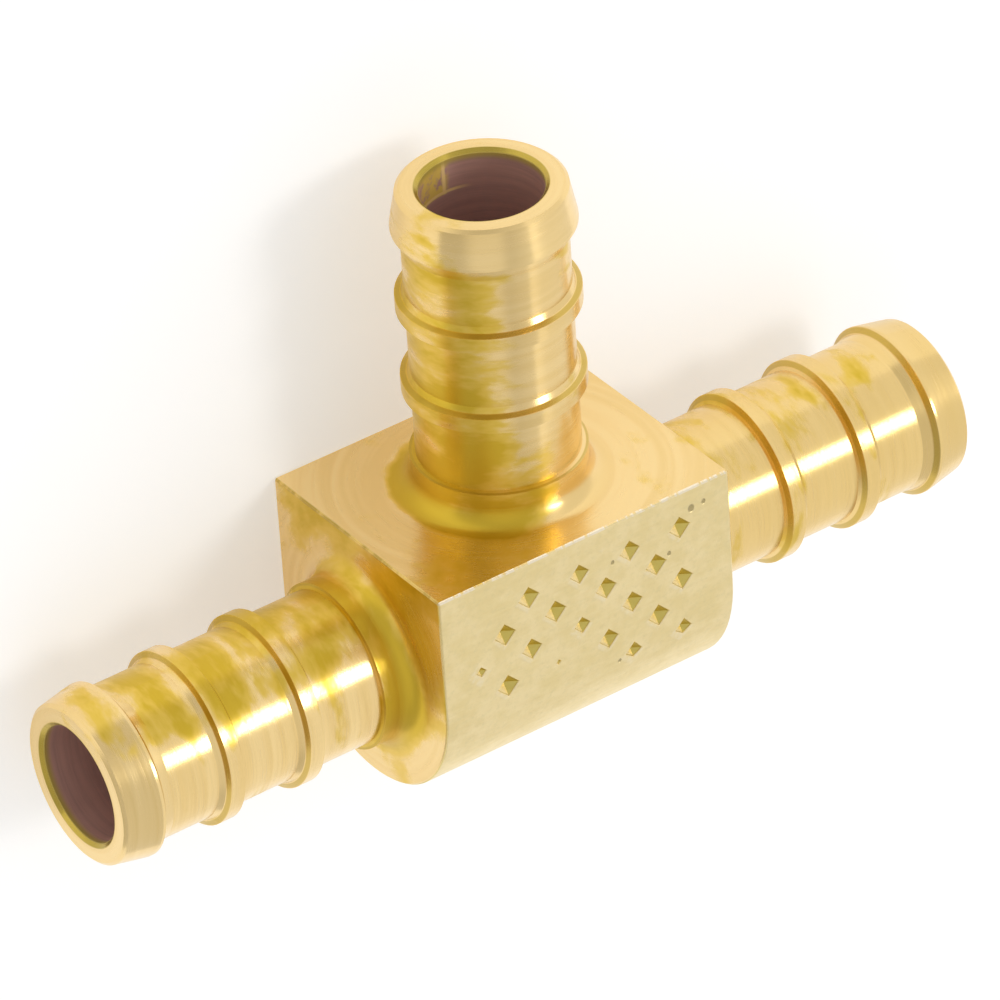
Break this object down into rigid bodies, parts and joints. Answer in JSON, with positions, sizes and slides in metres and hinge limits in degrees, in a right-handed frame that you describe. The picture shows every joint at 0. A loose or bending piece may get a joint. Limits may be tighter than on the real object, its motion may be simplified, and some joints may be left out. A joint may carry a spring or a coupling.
{
  "type": "pex crimp tee",
  "caption": "Brass tee with barbed spigots on a short bar, joining flexible plastic water pipe that is held on by crimped rings.",
  "frame": {"origin": "where the centre line of the run crosses the centre line of the branch", "axes": "+X along the run, +Y out along the branch, +Z out of the gripped side; the tee lies on the flat side that faces -Z"},
  "size_m": [0.05, 0.03, 0.0136],
  "materials": {
    "brass": "turned bright on the spigots, duller bar skin on the gripped side"
  },
  "bodies": {
    "root": {"tee": "brass"}
  },
  "joints": []
}
